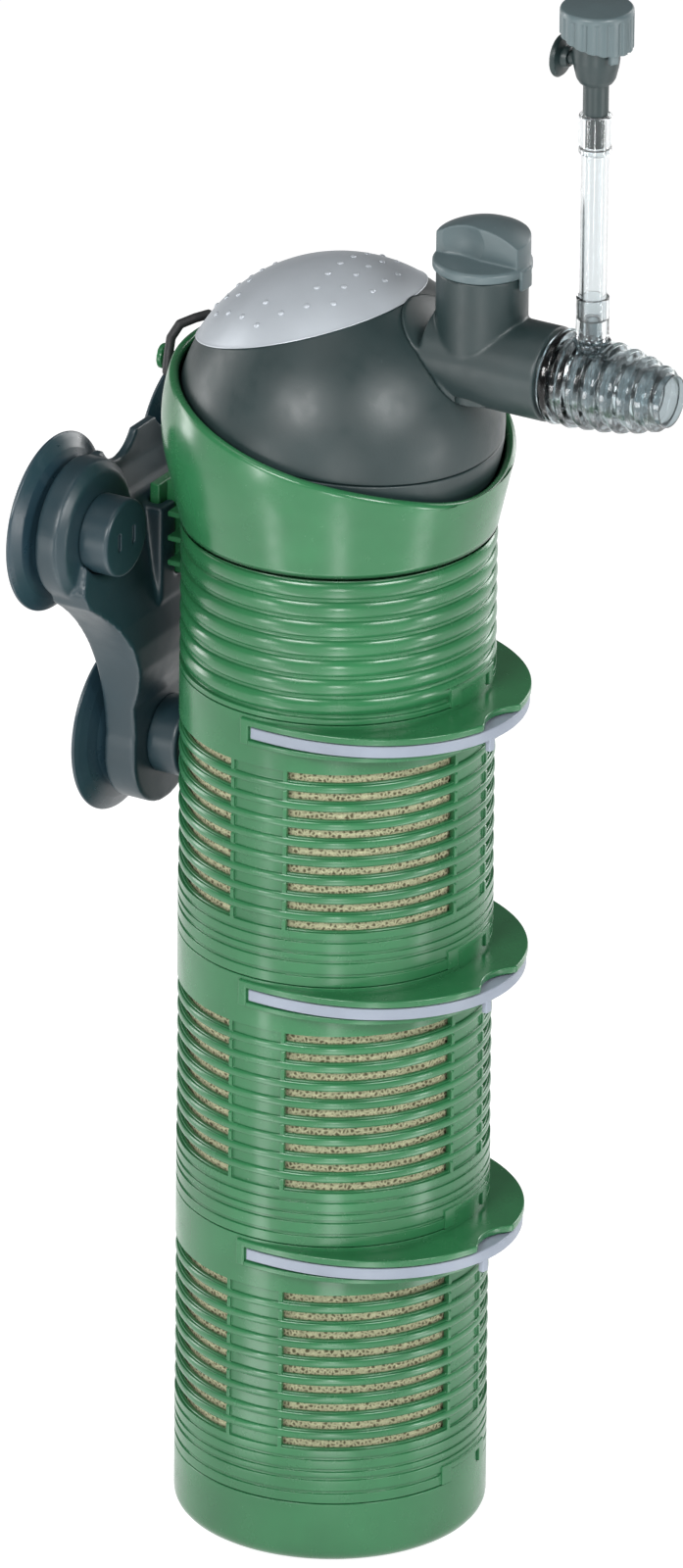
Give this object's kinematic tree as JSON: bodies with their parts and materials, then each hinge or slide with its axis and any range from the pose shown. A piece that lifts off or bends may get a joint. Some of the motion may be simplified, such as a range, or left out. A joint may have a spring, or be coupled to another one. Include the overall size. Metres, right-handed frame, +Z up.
{
  "type": "aquarium canister filter",
  "caption": "Upright stackable aquarium filter: slotted sponge chambers on a base cap, swivelling ball pump in a bowl, stepped outlet with air tube, suction-cup bracket.",
  "frame": {"origin": "centre of the base cap's underside, on the axis of the chambers", "axes": "+Z up along the chambers; +X the way the outlet nozzle points; the suction cups face -X"},
  "size_m": [0.168, 0.117, 0.4496],
  "materials": {
    "green_plastic": "satin moulded plastic, mid green",
    "sponge": "coarse open-cell filter sponge, beige grey",
    "slider_plastic": "satin light grey plastic",
    "ball_plastic": "satin dark slate plastic",
    "cover_plastic": "silver grey satin plastic",
    "knob_plastic": "grey satin plastic",
    "bracket_plastic": "dark slate blue satin plastic",
    "cup_rubber": "smooth dark slate rubber",
    "seal_rubber": "black rubber",
    "clear_plastic": "clear moulded plastic",
    "steel": "laminated steel",
    "copper": "enamelled copper winding",
    "ceramic": "white ceramic",
    "magnet": "dark ferrite",
    "impeller_plastic": "light grey plastic"
  },
  "bodies": {
    "base": {"base_cap": "green_plastic"},
    "lower_chamber": {"lower_shell": "green_plastic", "lower_grate": "green_plastic", "lower_sponge": "sponge"},
    "middle_chamber": {"middle_shell": "green_plastic", "middle_grate": "green_plastic", "middle_sponge": "sponge"},
    "upper_chamber": {"upper_shell": "green_plastic", "upper_grate": "green_plastic", "upper_sponge": "sponge"},
    "lower_lock": {"lower_slider": "slider_plastic"},
    "middle_lock": {"middle_slider": "slider_plastic"},
    "upper_lock": {"upper_slider": "slider_plastic"},
    "holder": {"pump_holder": "green_plastic", "ball_seat": "seal_rubber", "suction_pipe": "ball_plastic", "cord_hook": "green_plastic", "cord_gland": "seal_rubber"},
    "bracket": {"bracket_plate": "bracket_plastic", "left_cup": "cup_rubber", "right_cup": "cup_rubber", "bottom_cup": "cup_rubber", "left_cup_cap": "bracket_plastic", "right_cup_cap": "bracket_plastic", "bottom_cup_cap": "bracket_plastic"},
    "ball": {"lower_housing": "ball_plastic", "upper_housing": "ball_plastic", "housing_seal": "seal_rubber", "top_cover": "cover_plastic", "outlet_tee": "ball_plastic", "pump_chamber": "knob_plastic", "delivery_duct": "knob_plastic", "rotor_well": "knob_plastic", "stator_core": "steel", "coil": "copper", "rotor_shaft": "ceramic", "upper_bush": "seal_rubber", "shaft_support": "knob_plastic"},
    "rotor": {"rotor_magnet": "magnet", "impeller": "impeller_plastic"},
    "valve": {"flow_knob": "knob_plastic", "flow_valve": "ball_plastic", "valve_seal": "seal_rubber"},
    "nozzle": {"outlet_nozzle": "clear_plastic", "nozzle_seal": "seal_rubber", "lower_coupler": "clear_plastic", "air_tube": "clear_plastic", "upper_coupler": "clear_plastic", "air_valve": "ball_plastic", "valve_pad": "ball_plastic"},
    "air_regulator": {"air_cap": "knob_plastic"}
  },
  "joints": [
    {"name": "lower_lift", "type": "slide", "parent": "base", "child": "lower_chamber", "axis": [0, 0, 1], "range_m": [0, 0.015]},
    {"name": "middle_lift", "type": "slide", "parent": "lower_chamber", "child": "middle_chamber", "axis": [0, 0, 1], "range_m": [0, 0.015]},
    {"name": "upper_lift", "type": "slide", "parent": "middle_chamber", "child": "upper_chamber", "axis": [0, 0, 1], "range_m": [0, 0.015]},
    {"name": "holder_lift", "type": "slide", "parent": "upper_chamber", "child": "holder", "axis": [0, 0, 1], "range_m": [0, 0.015]},
    {"name": "lower_unlock", "type": "slide", "parent": "lower_chamber", "child": "lower_lock", "axis": [0.9954, -0.0958, 0], "range_m": [0, 0.006]},
    {"name": "middle_unlock", "type": "slide", "parent": "middle_chamber", "child": "middle_lock", "axis": [0.9954, -0.0958, 0], "range_m": [0, 0.006]},
    {"name": "upper_unlock", "type": "slide", "parent": "upper_chamber", "child": "upper_lock", "axis": [0.9954, -0.0958, 0], "range_m": [0, 0.006]},
    {"name": "bracket_slide", "type": "slide", "parent": "holder", "child": "bracket", "axis": [0, 0, -1], "range_m": [0, 0.038]},
    {"name": "ball_swivel", "type": "hinge", "parent": "holder", "child": "ball", "pos_m": [0, 0, 0.3158], "axis": [0, 0, 1], "range_deg": [-80, 80]},
    {"name": "rotor_spin", "type": "hinge", "parent": "ball", "child": "rotor", "pos_m": [0, 0, 0.3158], "axis": [0, 0, 1], "continuous": true},
    {"name": "valve_turn", "type": "hinge", "parent": "ball", "child": "valve", "pos_m": [0.0425, 0, 0.3678], "axis": [0, 0, 1], "range_deg": [0, 90]},
    {"name": "nozzle_turn", "type": "hinge", "parent": "ball", "child": "nozzle", "pos_m": [0.065, 0, 0.3426], "axis": [1, 0, 0], "range_deg": [-60, 60]},
    {"name": "regulator_turn", "type": "hinge", "parent": "nozzle", "child": "air_regulator", "pos_m": [0.0757, 0, 0.4386], "axis": [0, 0, 1], "range_deg": [0, 90]}
  ]
}
